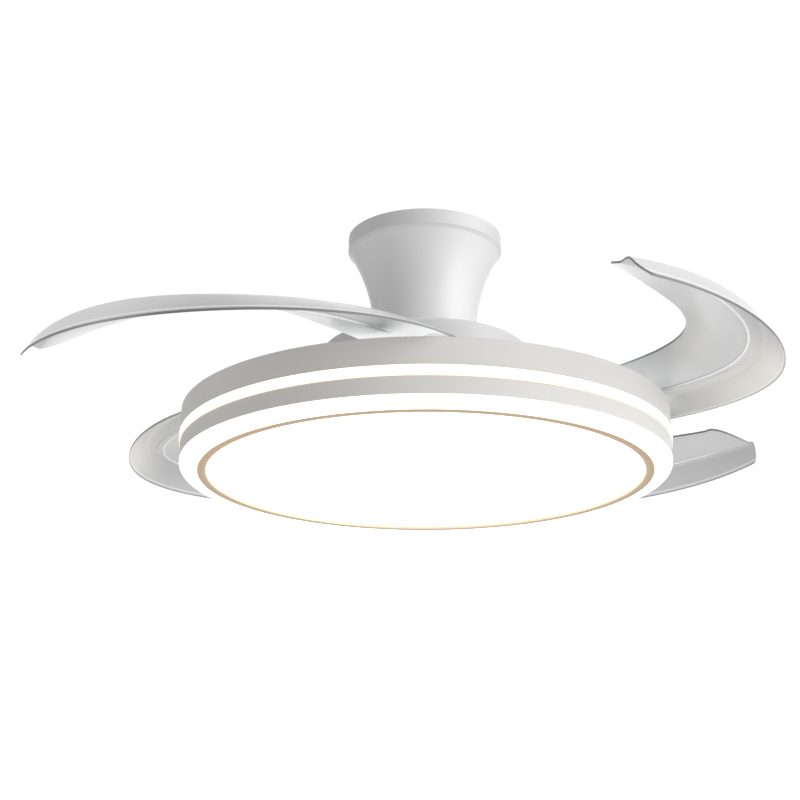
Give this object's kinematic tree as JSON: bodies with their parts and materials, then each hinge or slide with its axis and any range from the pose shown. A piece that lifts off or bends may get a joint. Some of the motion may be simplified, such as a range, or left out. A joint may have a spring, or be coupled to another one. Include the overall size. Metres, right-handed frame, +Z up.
{
  "type": "retractable blade ceiling fan with lamp",
  "caption": "Ceiling fan whose curved blades fold in over a round lamp drum, hung from a flared canopy, with glowing side slit, skirt and underside.",
  "frame": {"origin": "centre of the ceiling plate's fixing circle, on the ceiling plane", "axes": "+Z up into the ceiling along the spin axis, -Y towards the viewer of the picture"},
  "size_m": [0.7532, 0.7532, 0.2643],
  "materials": {
    "acetal_gear": "white moulded acetal",
    "black_oxide": "black oxide screws",
    "black_plastic": "black moulded plastic case",
    "blade_plastic": "satin translucent moulded plastic, greyish white",
    "cast_aluminium": "die-cast aluminium, machined on the seats",
    "champagne_gold": "brushed anodised champagne gold ring",
    "circuit_board": "white solder mask on aluminium core",
    "copper_enamel": "enamelled copper winding",
    "cover_plastic": "satin white moulded plastic",
    "drum_enamel": "matte warm grey-white enamel on rolled steel",
    "lamination_steel": "stacked dark electrical steel",
    "led_yellow": "phosphor coated light chips",
    "lit_acrylic": "opal acrylic lit from behind",
    "magnet_black": "sintered magnet, dark",
    "nylon": "natural moulded nylon",
    "steel": "turned or ground bright steel",
    "white_plastic": "white moulded plastic",
    "white_satin_enamel": "satin white powder coat on spun steel",
    "zinc_steel": "zinc plated pressed steel"
  },
  "bodies": {
    "ceiling_mount": {"band_screws": "black_oxide", "bearing_inner_rings": "steel", "bezel_ring": "champagne_gold", "canopy": "white_satin_enamel", "canopy_screws": "white_satin_enamel", "ceiling_plate": "zinc_steel", "coupling_collar": "zinc_steel", "cross_pin": "steel", "drum_lower_band": "drum_enamel", "drum_upper_band": "drum_enamel", "hanger_bolts": "black_oxide", "hanger_tube": "zinc_steel", "lamp_connector": "white_plastic", "lamp_pan": "zinc_steel", "led_board": "circuit_board", "led_chips": "led_yellow", "led_driver": "white_plastic", "main_diffuser": "lit_acrylic", "motor_shaft": "steel", "pin_clip": "steel", "receiver_strap": "nylon", "remote_receiver": "black_plastic", "shaft_nut": "steel", "side_led_strip": "led_yellow", "skirt_clips": "steel", "skirt_diffuser": "lit_acrylic", "slit_light_guide": "lit_acrylic", "stator_coils": "copper_enamel", "stator_core": "lamination_steel", "strip_holder": "cast_aluminium", "terminal_block": "white_plastic"},
    "rotor": {"rotor_lower_shell": "cast_aluminium", "rotor_upper_shell": "cast_aluminium", "rotor_joint_screws": "black_oxide", "tray_screws": "black_oxide", "rotor_magnets": "magnet_black", "bearing_outer_rings": "steel", "bearing_balls": "steel", "motor_cover": "cover_plastic", "motor_cover_screws": "steel", "blade_tray": "zinc_steel", "pivot_pins": "steel", "thrust_washers": "nylon", "carrier_posts": "zinc_steel", "mechanism_cover": "white_satin_enamel", "mechanism_cover_screws": "steel", "return_springs": "steel"},
    "sync_ring": {"sync_ring": "acetal_gear"},
    "blade_arm_1": {"blade_1": "blade_plastic", "blade_hub_1": "nylon", "blade_screws_1": "black_oxide"},
    "blade_arm_2": {"blade_2": "blade_plastic", "blade_hub_2": "nylon", "blade_screws_2": "black_oxide"},
    "blade_arm_3": {"blade_3": "blade_plastic", "blade_hub_3": "nylon", "blade_screws_3": "black_oxide"},
    "blade_arm_4": {"blade_4": "blade_plastic", "blade_hub_4": "nylon", "blade_screws_4": "black_oxide"}
  },
  "joints": [
    {"name": "rotor_spin", "type": "hinge", "parent": "ceiling_mount", "child": "rotor", "pos_m": [0, 0, -0.15], "axis": [0, 0, 1], "continuous": true},
    {"name": "blade_1_fold", "type": "hinge", "parent": "rotor", "child": "blade_arm_1", "pos_m": [0.19571, 0.0106, -0.2165], "axis": [0.061, 0.0033, 0.9981], "range_deg": [-58.6, 0]},
    {"name": "blade_2_fold", "type": "hinge", "parent": "rotor", "child": "blade_arm_2", "pos_m": [-0.0106, 0.19571, -0.2165], "axis": [-0.0033, 0.061, 0.9981], "range_deg": [-58.6, 0]},
    {"name": "blade_3_fold", "type": "hinge", "parent": "rotor", "child": "blade_arm_3", "pos_m": [-0.19571, -0.0106, -0.2165], "axis": [-0.061, -0.0033, 0.9981], "range_deg": [-58.6, 0]},
    {"name": "blade_4_fold", "type": "hinge", "parent": "rotor", "child": "blade_arm_4", "pos_m": [0.0106, -0.19571, -0.2165], "axis": [0.0033, -0.061, 0.9981], "range_deg": [-58.6, 0]},
    {"name": "sync_ring_turn", "type": "hinge", "parent": "rotor", "child": "sync_ring", "pos_m": [0, 0, -0.2097], "axis": [0, 0, 1], "range_deg": [0, 17.97], "deforming": ["return_springs"]}
  ],
  "couplings": [
    {"joint": "blade_2_fold", "follows": "blade_1_fold", "ratio": 1},
    {"joint": "blade_3_fold", "follows": "blade_1_fold", "ratio": 1},
    {"joint": "blade_4_fold", "follows": "blade_1_fold", "ratio": 1},
    {"joint": "sync_ring_turn", "follows": "blade_1_fold", "ratio": -0.30667}
  ]
}
